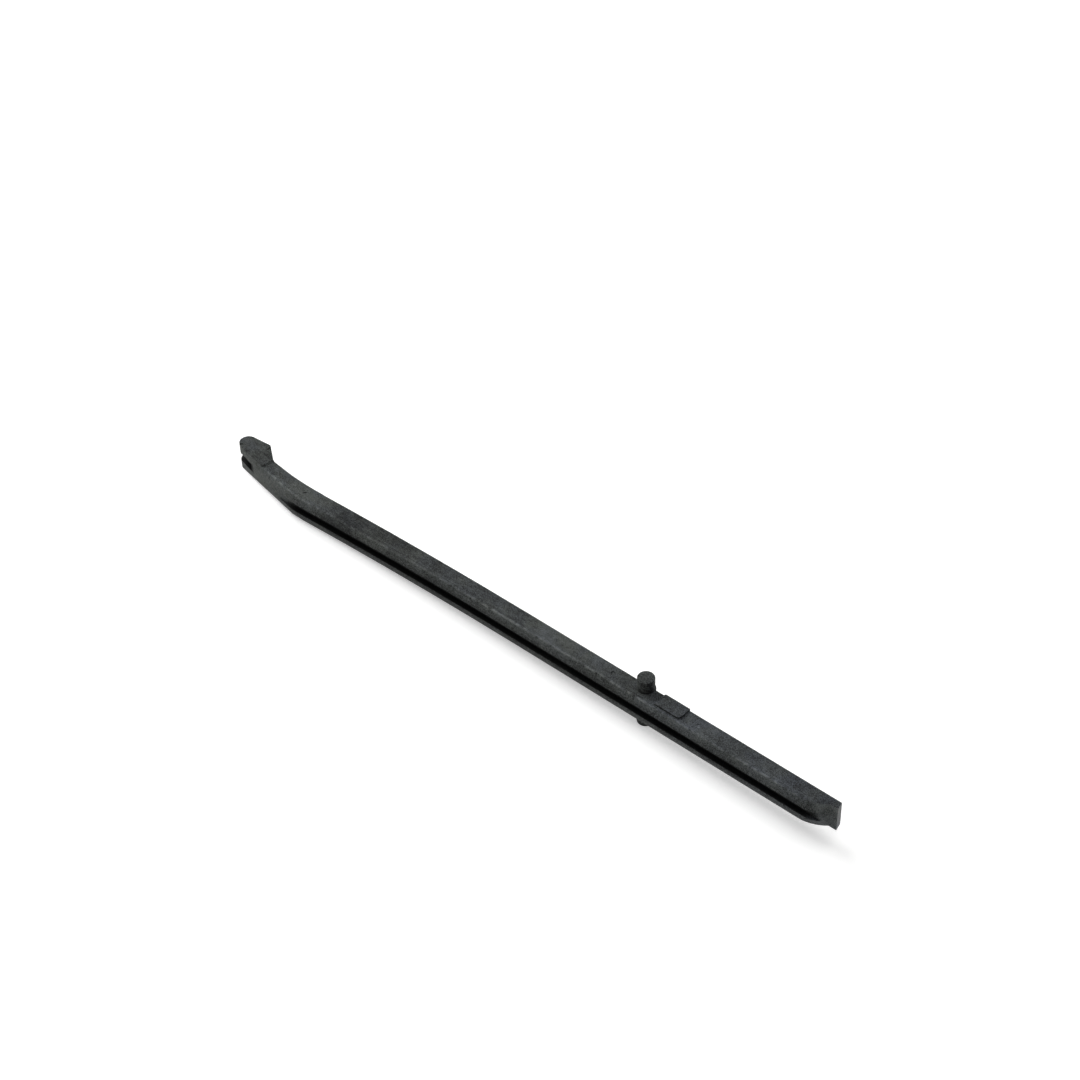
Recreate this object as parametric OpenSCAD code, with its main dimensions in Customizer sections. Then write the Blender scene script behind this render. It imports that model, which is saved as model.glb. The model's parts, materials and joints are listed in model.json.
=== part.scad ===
// Fixed guide rail for an engine timing chain, moulded in one piece.
// The locating pin is the origin and stands along Z, the rail runs along X with its toe at +X,
// the chain side faces -Y and the back faces +Y.

/* [Rail section] */
// Width of the rail across both flanges
rail_width = 8.8; // [7.6:0.1:12]
// Depth from the back face to the crest of the flanges
rail_depth = 6.45; // [5.6:0.05:8]
// Depth of the groove below the crest of the flanges
groove_depth = 1.75; // [1:0.05:2.6]
// Width of the groove between the two flanges
groove_width = 3; // [2:0.1:4]
// Distance of each flange's outer edge behind its crest
nose_setback = 0.7; // [0.3:0.05:1.1]
// Radius on the long outer edges
edge_r = 0.35; // [0.15:0.05:0.6]

/* [Rail length] */
// From the locating pin to the end of the toe, along the back face
toe_reach = 66.9; // [50:0.1:90]
// From the locating pin to the start of the bow
bow_start = 45; // [25:1:70]
// From the locating pin to the bend at the neck
neck_reach = 133.5; // [110:0.5:160]
// Radius of the slight bow in the head half
bow_r = 1800; // [1400:50:4000]

/* [Toe] */
// From the end of the toe to the place where the flanges' outer edges start to fall away
toe_run = 10.2; // [8:0.1:12]
// Radius of the flanges as they fall away
toe_round_r = 13; // [12.8:0.1:18]
// Slope of the flanges' faces across the rail where they fall away
toe_tilt = 24; // [14:1:32]
// Width of the level land beside the groove there
toe_land = 0.3; // [0.1:0.05:0.8]
// Thickness of the flat tip that is left at the end
toe_thickness = 2.6; // [1.8:0.05:3]
// Slant of the end face
toe_slant = 12; // [0:1:20]

/* [Neck and head] */
// Angle between the neck's chain side and the straight half of the rail
neck_angle = 10.6; // [6:0.2:15]
// Radius of the bend, on the outer edges of the flanges
bend_r = 38; // [20:1:60]
// From the bend to the place where the head stands out behind the neck
neck_len = 16.6; // [12:0.2:20]
// Depth of the neck where it meets the head
neck_depth = 4.15; // [3.4:0.05:4.8]
// Depth of the neck at the bend
neck_root_depth = 5.35; // [4.9:0.05:5.6]
// From the bend to the tip of the head
head_len = 31.25; // [29:0.25:36]
// Radius of the rounded tip of the head
tip_r = 2.75; // [2.2:0.05:3.2]
// Slope of the head's heel edge
heel_angle = 16; // [8:1:22]
// Length of the head's heel edge
heel_len = 6.8; // [5:0.1:8]

/* [Fork] */
// Width of the slot between the two prongs
fork_gap = 3.1; // [2.4:0.1:3.6]
// Length of the slot, from the tip of the head
fork_len = 8.6; // [5:0.1:10]
// Thickness of the wall that closes the slot along the heel
fork_wall = 1.6; // [1:0.1:2.2]

/* [Locating pin] */
// Diameter of the locating pin
pin_d = 5.2; // [4:0.1:6]
// Length of pin that stands out of each side of the rail
pin_reach = 4.4; // [2:0.1:8]
// Distance of the pin's axis in front of the back face
pin_inset = 1.25; // [0.8:0.05:1.8]
// Radius on the pin's rim
pin_rim_r = 0.4; // [0.2:0.05:0.8]
// Radius of the fillet at the pin's root, and width by which the boss in the rail is larger than the pin
pin_root_r = 0.3; // [0.2:0.05:0.6]

/* [Raised pads] */
// Height of the raised pads above the rail
pad_height = 0.6; // [0.3:0.05:1]
// From the pin's surface to the start of the pad beside it
pad_gap = 3; // [1.5:0.1:5]
// Length of the pad beside the pin
pad_len = 9.2; // [6:0.1:14]
// Width of the chain-side ledge left in front of that pad
pad_ledge = 0.95; // [0.5:0.05:1.6]
// Radius of the pad's free corner
pad_corner_r = 1.2; // [0.6:0.1:2]
// Angle of the pad's sloping end
pad_slope = 45; // [30:1:60]
// Width of the sloping facet at the head's heel corner
facet_width = 2.7; // [1.5:0.1:3.2]
// Slope of that facet
facet_angle = 12; // [6:1:20]

/* [Hidden] */

// Places across the rail, measured from the pin's axis
back_y = pin_inset;
crest_y = back_y - rail_depth;
edge_y = crest_y + nose_setback;
floor_y = crest_y + groove_depth;
tip_y = back_y - toe_thickness;
half_w = rail_width / 2;
half_groove = groove_width / 2;
flange_t = half_w - half_groove;
pin_r = pin_d / 2;

// Each flange is crowned on a circle that stands square at the groove and passes the outer edge.
// The rounded edge touches that circle from the inside.
crown_r = (flange_t * flange_t + nose_setback * nose_setback) / (2 * nose_setback);
edge_z = half_w - edge_r;
crown_end = asin((edge_z - half_groove) / (crown_r - edge_r));
round_y = crest_y + crown_r - (crown_r - edge_r) * cos(crown_end);

// The neck's line meets the flange's outer edge where the bowed rail reaches neck_reach.
// The rail runs on into the neck by rail_overlap, and the chain side turns between them in equal steps
// round a circle that touches both lines.
bend_angle = asin((neck_reach - bow_start) / (bow_r + edge_y));
bend_y = (bow_r + edge_y) * cos(bend_angle) - bow_r;
rail_overlap = 4.5;
bow_angle = asin((neck_reach + rail_overlap - bow_start) / bow_r);
bend_turn = neck_angle + bend_angle;
bend_steps = 4;
bend_centre = [bend_r * tan(bend_turn / 2), bend_r];

// The groove runs on along the bow until the neck's crest has fallen away to its floor
groove_angle = asin((neck_reach + neck_len - bow_start) / bow_r);

// Corners of the head, with u along the neck's chain side and v behind it
tip_centre = [head_len - tip_r, tip_r];
heel_tip = tip_centre + tip_r * [sin(heel_angle), cos(heel_angle)];
heel_corner = heel_tip + heel_len * [-cos(heel_angle), sin(heel_angle)];
head_joint = [neck_len, neck_depth];

// Foot of the sloping end of the head's pad
head_pad_u = neck_len - pad_height / tan(pad_slope);

// Allowance by which a cut passes the surface it opens
past = 1;
round_fn = 64;
// Straight steps in each rounded edge of the section
corner_steps = 6;
// Fine enough that the long bow is smooth
bow_fn = 1440;

// Points on an arc round a centre, from one angle to another, from its first or its second point on
function arc(centre, r, from, to, first = 0) = [
    for (i = [first:corner_steps])
        let (angle = from + (to - from) * i / corner_steps)
            centre + r * [cos(angle), sin(angle)]
];

// Upper half of the rail's section without its groove: x across the rail, y along the pin
function upper_half() = concat(
    arc([back_y - edge_r, edge_z], edge_r, 0, 90),
    arc([round_y, edge_z], edge_r, 90, 180 - crown_end),
    arc([crest_y + crown_r, half_groove], crown_r, 180 - crown_end, 180, 1)
);

// Points with their mirror images across the rail's middle plane, as one closed line
function with_mirror(points) = concat(points, [
    for (i = [len(points) - 1:-1:0]) [points[i][0], -points[i][1]]
]);

// Whole section, with the lower half mirrored from the upper one
module rail_section() {
    polygon(with_mirror(upper_half()));
}

// The groove's section, open past the crest of the flanges
module groove_section() {
    translate([crest_y - past, -half_groove])
        square([groove_depth + past, groove_width]);
}

// Carries a section along the straight half of the rail
module along_straight(extra = 0) {
    translate([-bow_start, 0, 0])
        rotate([90, 0, 90])
            linear_extrude(bow_start + toe_reach + extra)
                children();
}

// Carries a section along the bowed half of the rail
module along_bow(angle) {
    translate([-bow_start, -bow_r, 0])
        rotate([0, 0, 90])
            rotate_extrude(angle = angle, $fn = bow_fn)
                translate([bow_r, 0])
                    children();
}

// Moves a shape from the neck's u and v to the rail's place
module at_neck() {
    translate([-neck_reach, bend_y, 0])
        rotate([0, 0, -neck_angle])
            mirror([1, 0, 0])
                children();
}

// Outline of the neck and the head, seen along the pin
module head_outline() {
    polygon([
        [0, 0],
        [tip_centre[0], 0],
        tip_centre,
        heel_tip,
        heel_corner,
        head_joint,
        [0, neck_root_depth]
    ]);
    translate(tip_centre)
        circle(r = tip_r, $fn = round_fn);
}

// The part of that outline that the head's raised pad covers, with its chain-side corner rounded
module head_pad_outline() {
    reach = heel_corner[1] + past;
    intersection() {
        head_outline();
        union() {
            translate([head_pad_u, pad_corner_r])
                square([head_len, reach]);
            translate([head_pad_u + pad_corner_r, 0])
                square([head_len, reach]);
            translate([head_pad_u + pad_corner_r, pad_corner_r])
                circle(r = pad_corner_r, $fn = round_fn);
        }
    }
}

// What lies in front of the flanges' crowns and rounded edges: x behind the outer edge, y along the pin
module front_section() {
    difference() {
        translate([-rail_depth, -rail_width])
            square([rail_depth + round_y - edge_y, 2 * rail_width]);
        translate([-edge_y, 0])
            rail_section();
    }
}

// Removes what stands in front of the neck's chain side and of each step of the bend
module neck_front_cut() {
    for (i = [0:bend_steps - 1])
        translate([bend_centre[0], bend_centre[1], 0])
            rotate([0, 0, -bend_turn * i / bend_steps])
                translate([-rail_width, -bend_centre[1], 0])
                    rotate([90, 0, 90])
                        linear_extrude(rail_width + head_pad_u - bend_centre[0])
                            front_section();
}

// Crown in front of the neck that carries the flanges' crests on and fades out towards the tip
module neck_crown() {
    intersection() {
        rotate([90, 0, 90])
            linear_extrude(tip_centre[0])
                translate([-edge_y, 0])
                    rail_section();
        translate([0, 0, -rail_width])
            linear_extrude(2 * rail_width)
                polygon([
                    [0, past],
                    [0, -nose_setback],
                    [neck_len, -nose_setback],
                    [tip_centre[0], 0],
                    [tip_centre[0], past]
                ]);
    }
}

// Wedge that leaves the sloping end of the head's raised pad, towards the neck
module head_pad_slope() {
    translate([head_pad_u, -past, half_w])
        rotate([0, -pad_slope, 0])
            cube([2 * pad_height + past, heel_corner[1] + 2 * past, 2 * pad_height + past]);
}

// Slot between the prongs, open at the tip and on the chain side
module fork_slot() {
    slot_start = head_len - fork_len;
    slope = tan(heel_angle);
    wall_v = heel_tip[1] - fork_wall / cos(heel_angle);
    translate([0, 0, -fork_gap / 2])
        linear_extrude(fork_gap)
            polygon([
                [slot_start, -past],
                [head_len + past, -past],
                [head_len + past, wall_v + (heel_tip[0] - head_len - past) * slope],
                [slot_start, wall_v + (heel_tip[0] - slot_start) * slope]
            ]);
}

// Wedge that leaves the sloping facet beside the heel corner, square to the heel edge
module heel_facet() {
    translate([heel_corner[0], heel_corner[1], half_w + pad_height])
        rotate([0, 0, -heel_angle])
            translate([-heel_len, -facet_width, 0])
                rotate([-facet_angle, 0, 0])
                    cube([heel_len - edge_r, 2 * facet_width, 2 * pad_height + past]);
}

// Groove along the whole chain side
module groove() {
    along_straight(toe_run)
        groove_section();
    along_bow(groove_angle)
        groove_section();
}

// Removes what stands in front of the toe's curve, drawn from the outer edge of the flanges
module toe_curve_cut() {
    difference() {
        translate([0, -rail_depth])
            square([toe_run + rail_depth, rail_depth + toe_run]);
        translate([0, toe_round_r])
            circle(r = toe_round_r, $fn = 4 * round_fn);
    }
}

// Carries that cut across the rail on a slope that passes the outer edge on one side
module toe_flange_cut(side) {
    translate([toe_reach - toe_run, edge_y, side * half_w])
        rotate([-side * toe_tilt, 0, 0])
            linear_extrude(4 * rail_width, center = true)
                toe_curve_cut();
}

// Carries the cut straight across the groove and a land on each side of it
module toe_middle_cut() {
    translate([toe_reach - toe_run, edge_y - (flange_t - toe_land) * tan(toe_tilt), 0])
        linear_extrude(2 * rail_width, center = true)
            toe_curve_cut();
}

// Removes the flanges in front of the toe's curve, down to the flat tip
module toe_cut() {
    intersection() {
        union() {
            toe_flange_cut(1);
            toe_flange_cut(-1);
            toe_middle_cut();
        }
        translate([0, tip_y - 2 * rail_depth, -rail_width])
            cube([2 * toe_reach, 2 * rail_depth, 2 * rail_width]);
    }
}

// Removes what lies past the slanting end face
module toe_end_cut() {
    translate([toe_reach, back_y, -rail_width])
        rotate([0, 0, toe_slant])
            translate([0, -2 * rail_depth])
                cube([toe_run, 3 * rail_depth, 2 * rail_width]);
}

// Pin that runs through the rail on a slightly larger boss and stands out on both sides
module locating_pin() {
    half_len = half_w + pin_reach;
    rotate_extrude($fn = round_fn)
        polygon(with_mirror(concat(
            [[0, half_len]],
            arc([pin_r - pin_rim_r, half_len - pin_rim_r], pin_rim_r, 90, 0),
            arc([pin_r + pin_root_r, half_w + pin_root_r], pin_root_r, 180, 270)
        )));
}

// Raised pad beside the pin, flush with the back face, with one free corner rounded
module pin_pad() {
    front_y = edge_y + pad_ledge;
    start_x = pin_r + pad_gap;
    difference() {
        translate([start_x, front_y, half_w - pad_height])
            linear_extrude(2 * pad_height) {
                translate([0, pad_corner_r])
                    square([pad_len, back_y - front_y - pad_corner_r]);
                square([pad_len - pad_corner_r, back_y - front_y]);
                translate([pad_len - pad_corner_r, pad_corner_r])
                    circle(r = pad_corner_r, $fn = round_fn);
            }
        translate([start_x, front_y - past, half_w])
            rotate([0, -pad_slope, 0])
                cube([2 * pad_height + past, rail_depth + past, 2 * pad_height + past]);
    }
}

// Bowed half of the rail, trimmed to the bend and the neck's chain side
module bowed_rail() {
    difference() {
        along_bow(bow_angle)
            rail_section();
        at_neck()
            neck_front_cut();
    }
}

// Neck and head with the head's raised pad and the fork
module head() {
    difference() {
        union() {
            translate([0, 0, -half_w])
                linear_extrude(rail_width)
                    head_outline();
            translate([0, 0, -half_w])
                linear_extrude(rail_width + pad_height)
                    head_pad_outline();
            neck_crown();
        }
        neck_front_cut();
        head_pad_slope();
        fork_slot();
        heel_facet();
    }
}

module guide_rail() {
    color([0.24, 0.24, 0.25]) {
        difference() {
            union() {
                along_straight(toe_thickness)
                    rail_section();
                bowed_rail();
                at_neck()
                    head();
            }
            groove();
            toe_cut();
            toe_end_cut();
        }
        pin_pad();
        locating_pin();
    }
}

guide_rail();
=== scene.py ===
import json
import math

import bpy
from mathutils import Matrix, Vector

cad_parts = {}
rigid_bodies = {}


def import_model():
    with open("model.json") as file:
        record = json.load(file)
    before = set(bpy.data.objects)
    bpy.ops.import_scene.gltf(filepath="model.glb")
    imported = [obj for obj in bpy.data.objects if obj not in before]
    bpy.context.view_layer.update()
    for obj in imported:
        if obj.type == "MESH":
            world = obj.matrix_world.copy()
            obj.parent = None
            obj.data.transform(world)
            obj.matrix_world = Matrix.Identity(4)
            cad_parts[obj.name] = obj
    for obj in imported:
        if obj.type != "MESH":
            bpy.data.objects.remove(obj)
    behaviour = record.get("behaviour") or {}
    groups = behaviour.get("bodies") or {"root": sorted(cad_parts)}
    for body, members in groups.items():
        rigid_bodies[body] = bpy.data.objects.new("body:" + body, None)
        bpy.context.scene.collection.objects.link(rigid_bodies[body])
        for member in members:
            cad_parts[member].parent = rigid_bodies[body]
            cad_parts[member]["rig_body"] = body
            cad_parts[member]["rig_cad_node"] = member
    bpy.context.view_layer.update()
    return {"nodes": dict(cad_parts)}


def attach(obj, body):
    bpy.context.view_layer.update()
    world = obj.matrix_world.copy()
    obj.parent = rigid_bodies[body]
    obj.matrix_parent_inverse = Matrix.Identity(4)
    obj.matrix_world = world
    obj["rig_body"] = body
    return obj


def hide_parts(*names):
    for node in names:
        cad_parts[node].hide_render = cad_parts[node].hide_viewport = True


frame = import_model()


# The guide rail is one moulding in black nylon, shot into a steel mould and pushed out of it by pins.
# Its form is the CAD node's own, with the back of the neck filled to a curve. The pins leave shallow
# round marks on the upper side, and the chain and handling have rubbed its long edges grey; a painted
# highlight lies on the front one.

MERGE_GAP = 0.000001
FLAT_ANGLE = math.radians(0.05)
SMOOTH_ANGLE = math.radians(32)
RAIL_WIDTH = 0.0088
EDGE_R = 0.00035
EDGE_SEGMENTS = 5

# The corner at the back of the neck, the slopes of the two faces that meet there, and the fillet in it,
# which is sunk a little below the rail's sides so that no faces coincide
NECK_CORNER = Vector((-0.13587, -0.00104, 0.0))
RAIL_TILT = math.radians(2.89)
NECK_TILT = math.radians(6.45)
FILLET_R = 0.120
FILLET_REACH = 0.0017
FILLET_SINK = 0.00001
FILLET_SIDES = 1080

# Each ejector mark's middle, radius and depth
MARKS = {
    "neck": ((-0.1311, -0.0037, 0.0044), 0.00055, 0.00030),
    "pin": ((-0.0108, -0.0015, 0.0044), 0.00065, 0.00030),
    "toe": ((0.0204, -0.0018, 0.0044), 0.00065, 0.00012),
    "tip": ((-0.1618, -0.0008, 0.0050), 0.00050, 0.00030),
}
MARK_SIDES = 32


def work(target, operation, tool):
    bpy.context.view_layer.objects.active = target
    step = target.modifiers.new("step", "BOOLEAN")
    step.operation = operation
    step.solver = "EXACT"
    step.object = tool
    bpy.ops.object.modifier_apply(modifier=step.name)
    bpy.data.objects.remove(tool)


# The copy drops the CAD node's labels and stored shading, and its loose triangles are merged
bpy.ops.object.select_all(action="DESELECT")
cad_rail = frame["nodes"]["guide_rail"]
cad_rail.select_set(True)
bpy.context.view_layer.objects.active = cad_rail
bpy.ops.object.duplicate()
rail = bpy.context.active_object
rail.name = rail.data.name = "rail_moulding"
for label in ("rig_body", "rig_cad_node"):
    del rail[label]
bpy.ops.mesh.customdata_custom_splitnormals_clear()
bpy.ops.object.mode_set(mode="EDIT")
bpy.ops.mesh.select_all(action="SELECT")
bpy.ops.mesh.remove_doubles(threshold=MERGE_GAP)
bpy.ops.mesh.dissolve_limited(angle_limit=FLAT_ANGLE)
bpy.ops.object.mode_set(mode="OBJECT")

# The fillet is a block between the ends of the curve, hollowed by a large round former
half_turn = (RAIL_TILT + NECK_TILT) / 2
run = FILLET_R * math.tan(half_turn)
head_end = NECK_CORNER.x - run * math.cos(NECK_TILT)
toe_end = NECK_CORNER.x + run * math.cos(RAIL_TILT)
to_toe = Vector((math.cos(RAIL_TILT), math.sin(RAIL_TILT), 0.0))
to_head = Vector((-math.cos(NECK_TILT), math.sin(NECK_TILT), 0.0))
outwards = (to_toe + to_head).normalized()
bpy.ops.object.select_all(action="DESELECT")
bpy.ops.mesh.primitive_cylinder_add(
    vertices=FILLET_SIDES, radius=FILLET_R, depth=2 * RAIL_WIDTH,
    location=NECK_CORNER + outwards * FILLET_R / math.cos(half_turn))
former = bpy.context.active_object
bpy.ops.mesh.primitive_cube_add(
    size=1.0, location=((head_end + toe_end) / 2, NECK_CORNER.y, 0.0),
    scale=(toe_end - head_end, 2 * FILLET_REACH, RAIL_WIDTH - 2 * FILLET_SINK))
fillet = bpy.context.active_object
work(fillet, "DIFFERENCE", former)
rounding = fillet.modifiers.new("rounding", "BEVEL")
rounding.width = EDGE_R
rounding.segments = EDGE_SEGMENTS
rounding.limit_method = "ANGLE"
bpy.ops.object.modifier_apply(modifier=rounding.name)
work(rail, "UNION", fillet)

for spot, radius, depth in MARKS.values():
    bpy.ops.object.select_all(action="DESELECT")
    bpy.ops.mesh.primitive_cylinder_add(vertices=MARK_SIDES, radius=radius, depth=2 * depth, location=spot)
    work(rail, "DIFFERENCE", bpy.context.active_object)

bpy.ops.object.select_all(action="DESELECT")
rail.select_set(True)
bpy.context.view_layer.objects.active = rail
bpy.ops.object.mode_set(mode="EDIT")
bpy.ops.mesh.select_all(action="SELECT")
bpy.ops.mesh.quads_convert_to_tris()
bpy.ops.object.mode_set(mode="OBJECT")
bpy.ops.object.shade_smooth_by_angle(angle=SMOOTH_ANGLE)
flat = rail.modifiers.new("flat_faces", "WEIGHTED_NORMAL")
flat.mode = "FACE_AREA"
flat.weight = 100
flat.keep_sharp = True
bpy.ops.object.modifier_apply(modifier=flat.name)

# The nylon's places are in millimetres: the bow, the neck's front face, the upper side and its pads,
# the rubbed and highlit front edge, half the groove and the slot, and the runs along the rail where
# rubbing and painted light change the tone
MM = 1000.0
BOW_START = -45.0
BOW_R = 1800.0
NECK_FACING = (0.185, 0.983)
NECK_SHIFT = 26.72
TOP = 4.4
PAD_TOP = 5.0
EDGE_ACROSS = -4.42
EDGE_HEIGHT = 4.34
SECOND_LINE = -3.3
HALF_GROOVE = 1.5
HALF_SLOT = 1.55
CREST = -5.2
WEB = -3.0
PIN_R = 3.0
# Runs where the front edge's rubbing and painted highlight are strongest
RUB_AND_HIGHLIGHT_RUNS = ((-147.0, -134.0), (-63.0, -40.0), (-30.0, 6.0), (36.0, 51.0))
RUB_AND_HIGHLIGHT_FADE = 3.0
# Paler and darker runs of painted light on the upper side, with the share of each
TOP_LIGHT_RUNS = ((-133.0, -117.0, 0.25), (-113.0, -88.0, -0.35), (-38.0, -10.0, 0.45))
TOP_LIGHT_FADE = 5.0
TOE_MARK_LIGHT = 0.9
DARKEST = 0.1
RECESS_SHADE = 0.06
WARM_BLACK = (0.0460, 0.0493, 0.0457, 1.0)
COOL_BLACK = (0.0430, 0.0472, 0.0530, 1.0)
ROUGHNESS = 0.60
GLOSS = 0.08
EDGE_SOFTNESS = 0.00014
EDGE_SAMPLES = 6
RELIEF_STRENGTH = 0.7
RELIEF_DEPTH = 0.00010

nylon = bpy.data.materials.new("black_nylon")
nylon.use_nodes = True
tree = nylon.node_tree
shader = tree.nodes["Principled BSDF"]


def make(kind, links=(), **values):
    node = tree.nodes.new(kind)
    for name, value in values.items():
        setattr(node, name, value)
    for socket, source in dict(links).items():
        if isinstance(source, (int, float, tuple)):
            node.inputs[socket].default_value = source
        else:
            tree.links.new(source, node.inputs[socket])
    return node


def maths(operation, *terms):
    return make("ShaderNodeMath", dict(enumerate(terms)), operation=operation).outputs[0]


def plus(total, *others):
    for other in others:
        total = maths("ADD", total, other)
    return total


def times(product, *others):
    for other in others:
        product = maths("MULTIPLY", product, other)
    return product


def ramp(source, low, high, to_low=0.0, to_high=1.0):
    links = {"Value": source, "From Min": low, "From Max": high, "To Min": to_low, "To Max": to_high}
    return make("ShaderNodeMapRange", links, interpolation_type="SMOOTHSTEP").outputs["Result"]


def fall(source, low, high):
    return ramp(source, low, high, 1.0, 0.0)


def between(source, start, stop, fade):
    return times(ramp(source, start - fade, start + fade), fall(source, stop - fade, stop + fade))


def noise(scale, detail, rough, stretch=(1.0, 1.0, 1.0)):
    placed = make("ShaderNodeMapping", {"Vector": place, "Scale": stretch})
    links = {"Vector": placed.outputs[0], "Scale": scale, "Detail": detail, "Roughness": rough}
    return make("ShaderNodeTexNoise", links).outputs["Fac"]


# Each part of a blend is a source, its middle value and its share
def blend(*parts):
    total = 0.0
    for source, middle, share in parts:
        total = plus(total, times(maths("SUBTRACT", source, middle), share))
    return total


coordinates = make("ShaderNodeTexCoord").outputs
place = make("ShaderNodeMapping", {"Vector": coordinates["Object"], "Scale": (MM, MM, MM)}).outputs[0]
along, across, height = make("ShaderNodeSeparateXYZ", {"Vector": place}).outputs
facing = make("ShaderNodeSeparateXYZ", {"Vector": coordinates["Normal"]})
facing_x, facing_y, facing_z = facing.outputs
off_middle = maths("ABSOLUTE", height)
upright = fall(maths("ABSOLUTE", facing_z), 0.4, 0.7)
to_front = ramp(facing_y, -0.45, -0.75)

# The bow and the neck's turn are taken out of the place across the rail, so that one line follows its edge
bowed = maths("MINIMUM", plus(along, -BOW_START), 0.0)
on_rail = plus(across, maths("DIVIDE", times(bowed, bowed), 2 * BOW_R))
on_neck = plus(times(along, NECK_FACING[0]), plus(times(across, NECK_FACING[1]), NECK_SHIFT))
straight = maths("MINIMUM", on_rail, on_neck)

specks = noise(scale=3.4, detail=2.0, rough=0.6)
grain = noise(scale=1.7, detail=4.0, rough=0.75)
mottle = noise(scale=0.5, detail=4.0, rough=0.6)
clouds = noise(scale=0.07, detail=3.0, rough=0.5)
streaks = noise(scale=1.0, detail=3.0, rough=0.6, stretch=(0.04, 1.3, 1.3))
scratches = ramp(noise(scale=1.0, detail=2.0, rough=0.5, stretch=(0.05, 5.0, 5.0)), 0.66, 0.74)

# The front edge of the upper side is painted paler, partly as rubbing and partly as a painted highlight,
# more so along some runs, with a fainter line behind it
edge_gap = maths("SQRT", plus(maths("POWER", plus(straight, -EDGE_ACROSS), 2.0),
                              maths("POWER", plus(height, -EDGE_HEIGHT), 2.0)))
rub_and_highlight_patches = times(ramp(noise(scale=0.09, detail=4.0, rough=0.6), 0.40, 0.62), 0.4)
for start, stop in RUB_AND_HIGHLIGHT_RUNS:
    rub_and_highlight_patches = maths("MAXIMUM", rub_and_highlight_patches, between(along, start, stop, RUB_AND_HIGHLIGHT_FADE))
rub_and_highlight_line = times(fall(edge_gap, 0.12, 0.55), ramp(mottle, 0.3, 0.65))
rubbed_and_highlit = times(rub_and_highlight_line, plus(0.3, times(rub_and_highlight_patches, 0.9)))
second_gap = maths("ABSOLUTE", plus(straight, -SECOND_LINE))
second_line = times(fall(second_gap, 0.05, 0.25), ramp(height, TOP - 0.2, TOP - 0.1),
                    ramp(streaks, 0.42, 0.6))

# Painted light and shade: the chain side is shaded near the groove and paler on its lower flange and
# towards its upper edge, and the front of the neck, the front of the toe's tip and the cut end are painted
# paler where the light falls on them
upper_flange_light = ramp(height, 1.3, 4.2, -0.40, 0.28)
lower_flange_light = ramp(height, -1.2, -0.2, 0.22, 0.0)
front_painted_light = times(to_front, ramp(along, -133.0, -131.0), plus(upper_flange_light, lower_flange_light))
neck_front_light = times(to_front, ramp(along, -133.0, -139.0))
tip_front_light = times(ramp(facing_y, -0.5, -0.8), ramp(along, 60.0, 64.0))
cut_end = times(ramp(facing_x, 0.6, 0.9), ramp(along, 65.0, 66.0))

# Painted shade: the groove, the fork slot, the steps up to the pads and the pin's side away from the main
# light are darkened where shade falls
groove_shade = times(fall(off_middle, HALF_GROOVE + 0.02, HALF_GROOVE + 0.08),
                  ramp(straight, CREST - 0.02, CREST + 0.12), fall(straight, WEB - 0.2, WEB + 0.1),
                  ramp(along, -140.0, -132.0), fall(along, 57.0, 64.0))
slot_shade = times(fall(off_middle, HALF_SLOT + 0.01, HALF_SLOT + 0.07),
                ramp(along, -154.6, -155.2), fall(facing_y, 0.2, 0.5))
step_foot_shade = times(upright, ramp(height, TOP - 0.02, TOP + 0.02), fall(height, PAD_TOP - 0.04, PAD_TOP),
                  fall(facing_y, 0.1, 0.4), ramp(facing_x, -0.5, -0.2))
pin_reach = maths("SQRT", plus(times(along, along), times(across, across)))
pin_side_shade = times(upright, fall(pin_reach, PIN_R - 0.1, PIN_R + 0.1), ramp(height, TOP, TOP + 0.2),
                 ramp(facing_x, -0.5, 0.4, 0.1, 1.0))

# Painted light and shade: some runs of the upper side are paler or darker after how the light falls along
# the rail, and the ejector mark near the toe is pale
top_light_and_toe_mark = 0.0
for start, stop, share in TOP_LIGHT_RUNS:
    stretch = between(along, start, stop, TOP_LIGHT_FADE)
    top_light_and_toe_mark = plus(top_light_and_toe_mark, times(stretch, share, ramp(facing_z, 0.8, 0.95)))
toe_mark = tuple(MM * part for part in MARKS["toe"][0])
toe_mark_gap = make("ShaderNodeVectorMath", {0: place, 1: toe_mark}, operation="DISTANCE").outputs["Value"]
top_light_and_toe_mark = plus(top_light_and_toe_mark, ramp(toe_mark_gap, 0.35, 0.75, TOE_MARK_LIGHT, 0.0))

texture = blend((specks, 0.5, 4.6), (grain, 0.5, 3.2), (mottle, 0.5, 2.0), (clouds, 0.5, 2.0),
                (streaks, 0.5, 0.9), (scratches, 0.0, 0.35))
# Wear and the painted light and shade above are added to the tone
wear_and_painted_light = blend((rubbed_and_highlit, 0.0, 1.2), (second_line, 0.0, 0.3), (front_painted_light, 0.0, 1.0), (neck_front_light, 0.0, 0.6),
             (cut_end, 0.0, 1.0), (tip_front_light, 0.0, 1.3), (step_foot_shade, 0.0, -0.85), (pin_side_shade, 0.0, -0.8),
             (top_light_and_toe_mark, 0.0, 1.0))
tone = maths("MAXIMUM", plus(texture, wear_and_painted_light, 1.0), DARKEST)
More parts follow.
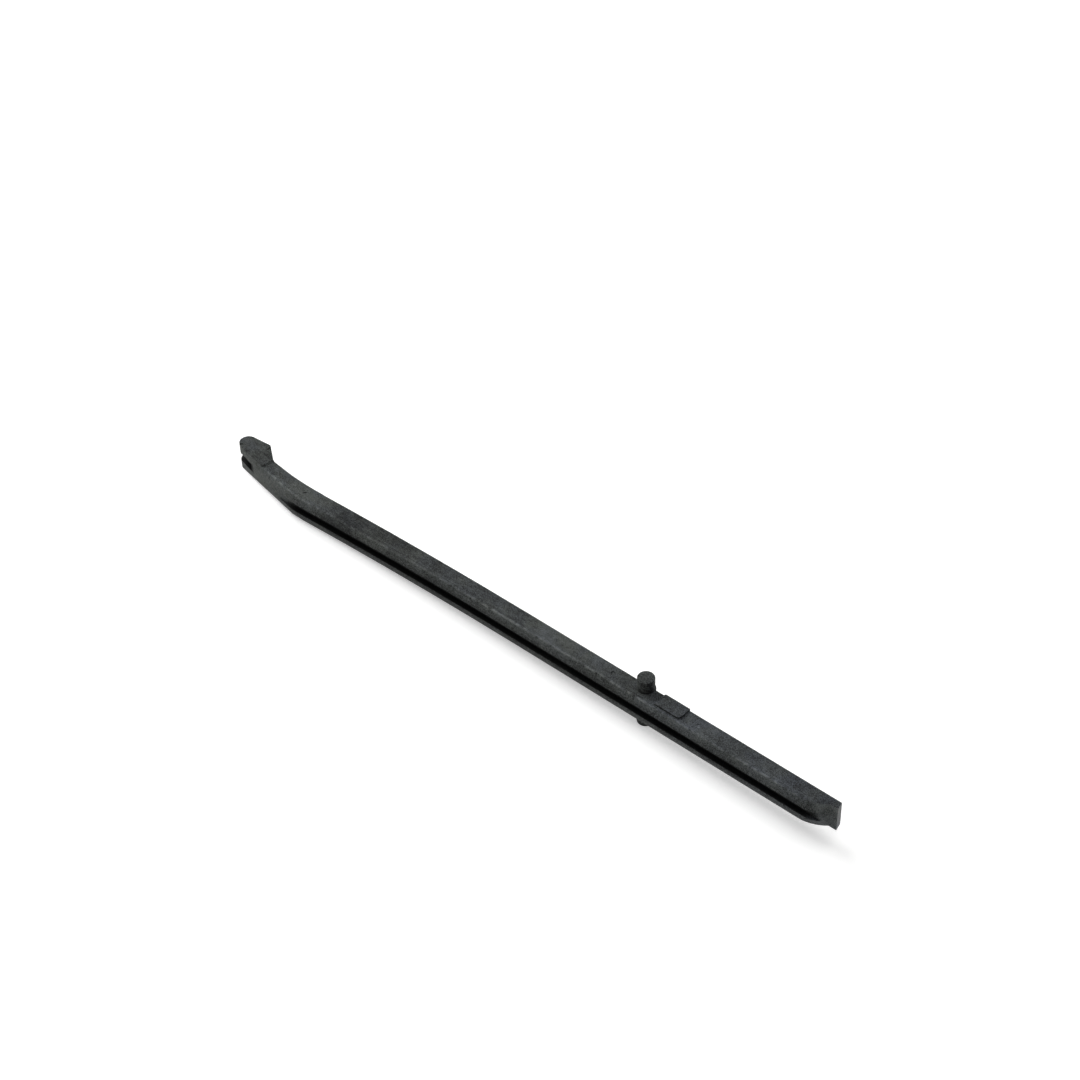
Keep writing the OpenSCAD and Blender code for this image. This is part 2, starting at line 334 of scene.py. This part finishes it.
# Painted shade: the groove and the slot are darkened to a small share of the tone
tone = times(tone, ramp(maths("MAXIMUM", groove_shade, slot_shade), 0.0, 1.0, 1.0, RECESS_SHADE))
cool_clouds = ramp(noise(scale=0.16, detail=3.0, rough=0.5), 0.35, 0.65, 0.0, 0.5)
cool = times(plus(cool_clouds, ramp(along, -20.0, 30.0, 0.1, 0.5)), ramp(facing_y, -0.45, -0.75, 1.0, 0.5))
tint = make("ShaderNodeMix", {0: cool, 6: WARM_BLACK, 7: COOL_BLACK}, data_type="RGBA").outputs[2]
colour = make("ShaderNodeVectorMath", {0: tint, "Scale": tone}, operation="SCALE").outputs[0]
dull = blend((mottle, 0.5, 0.35), (grain, 0.5, 0.25), (rubbed_and_highlit, 0.0, -0.08), (cut_end, 0.0, -0.2))
relief = blend((grain, 0.5, 1.0), (mottle, 0.5, 0.8), (scratches, 0.0, -0.3))
soft_edge = make("ShaderNodeBevel", {"Radius": EDGE_SOFTNESS}, samples=EDGE_SAMPLES).outputs["Normal"]
bump = make("ShaderNodeBump", {"Height": relief, "Strength": RELIEF_STRENGTH, "Distance": RELIEF_DEPTH,
                               "Normal": soft_edge}).outputs["Normal"]
tree.links.new(colour, shader.inputs["Base Color"])
tree.links.new(plus(dull, ROUGHNESS), shader.inputs["Roughness"])
tree.links.new(bump, shader.inputs["Normal"])
shader.inputs["Specular IOR Level"].default_value = GLOSS

rail.data.materials.clear()
rail.data.materials.append(nylon)
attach(rail, "root")
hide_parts("guide_rail")


# The table is a sheet of matt white card. The guide lies on it on its lower pin end and
# on the underside of its head, so the card slopes a little in the part's own frame.
# It glows to the eye and in reflections alone, so that it looks white and still holds the shadow.

PIN_FOOT = Vector((-0.0024, 0.0, -0.00879))
HEAD_FOOT = Vector((-0.1635, 0.0, -0.0044))
CARD_SIZE = 6.0
CARD_WHITE = (0.88, 0.88, 0.875, 1.0)
CARD_ROUGHNESS = 0.9
CARD_GLOSS = 0.1
PURE_WHITE = (1.0, 1.0, 1.0, 1.0)
NEAR_GLOW, FAR_GLOW = 0.46, 1.0
GLOW_START, GLOW_END = 0.25, 0.60


def looked_at():
    path = make("ShaderNodeLightPath").outputs
    mirrored = maths("MAXIMUM", path["Is Glossy Ray"], path["Is Transmission Ray"])
    return maths("MAXIMUM", path["Is Camera Ray"], mirrored)


bpy.ops.object.select_all(action="DESELECT")
bpy.ops.mesh.primitive_plane_add(size=CARD_SIZE)
card = bpy.context.active_object
card.name = "white_card"
slope = math.atan2(HEAD_FOOT.z - PIN_FOOT.z, PIN_FOOT.x - HEAD_FOOT.x)
card.data.transform(Matrix.Translation(PIN_FOOT) @ Matrix.Rotation(slope, 4, "Y"))
white = bpy.data.materials.new("white_card")
white.use_nodes = True
tree = white.node_tree
paper = tree.nodes["Principled BSDF"]
paper.inputs["Base Color"].default_value = CARD_WHITE
paper.inputs["Roughness"].default_value = CARD_ROUGHNESS
paper.inputs["Specular IOR Level"].default_value = CARD_GLOSS
card_place = make("ShaderNodeTexCoord").outputs["Object"]
reach = make("ShaderNodeVectorMath", {0: card_place}, operation="LENGTH").outputs["Value"]
strength = times(looked_at(), ramp(reach, GLOW_START, GLOW_END, NEAR_GLOW, FAR_GLOW))
glow = make("ShaderNodeEmission", {"Color": PURE_WHITE, "Strength": strength})
both = make("ShaderNodeAddShader", {0: paper.outputs[0], 1: glow.outputs[0]})
tree.links.new(both.outputs[0], tree.nodes["Material Output"].inputs["Surface"])
card.data.materials.append(white)


# The light comes from three soft panels: a long one overhead, the main one high to the left, which shines
# along the rail, and a dim one low at the front left. The room adds a little, and looks white.

ROOM_LIGHT = 0.10
MIDDLE = Vector((-0.048, 0.0, 0.0))

world = bpy.data.worlds.new("room")
bpy.context.scene.world = world
world.use_nodes = True
tree = world.node_tree
room = tree.nodes["Background"]
room.inputs["Color"].default_value = PURE_WHITE
tree.links.new(plus(ROOM_LIGHT, times(looked_at(), 1.0 - ROOM_LIGHT)), room.inputs["Strength"])


def soft_box(name, spot, size, watts):
    bpy.ops.object.light_add(type="AREA", location=MIDDLE + Vector(spot))
    lamp = bpy.context.active_object
    lamp.name = name
    lamp.data.shape = "RECTANGLE"
    lamp.data.size, lamp.data.size_y = size
    lamp.data.energy = watts
    lamp.rotation_mode = "QUATERNION"
    lamp.rotation_quaternion = (-Vector(spot)).to_track_quat("-Z", "Y")


soft_box("top_panel", spot=(0.3, 0.0, 1.0), size=(1.4, 0.5), watts=4.4)
soft_box("left_panel", spot=(-0.8, 0.03, 1.0), size=(0.9, 0.7), watts=11.2)
soft_box("low_panel", spot=(-0.7, -0.8, 0.12), size=(0.7, 0.3), watts=1.2)


# The camera stands in front of the chain side, to the right and above.
# Its lens follows from a focal length measured in pixels of the frame.

EYE = Vector((0.317123, -0.391712, 0.531225))
RIGHT = Vector((0.75186, 0.65905, -0.01886))
UP = Vector((-0.43926, 0.52204, 0.73111))
BACK = Vector((0.49168, -0.54141, 0.68200))
SENSOR = 36.0
FOCAL_PX = 2600.0
FRAME_PX = 1080.0
NEAREST, FARTHEST = 0.01, 20.0

bpy.ops.object.camera_add()
camera = bpy.context.active_object
camera.name = "camera"
turn = Matrix((RIGHT, UP, BACK)).transposed().to_4x4()
camera.matrix_world = Matrix.Translation(EYE) @ turn
camera.data.sensor_fit = "HORIZONTAL"
camera.data.sensor_width = SENSOR
camera.data.lens = SENSOR * FOCAL_PX / FRAME_PX
camera.data.clip_start, camera.data.clip_end = NEAREST, FARTHEST
bpy.context.scene.camera = camera
bpy.context.scene.view_settings.view_transform = "Standard"
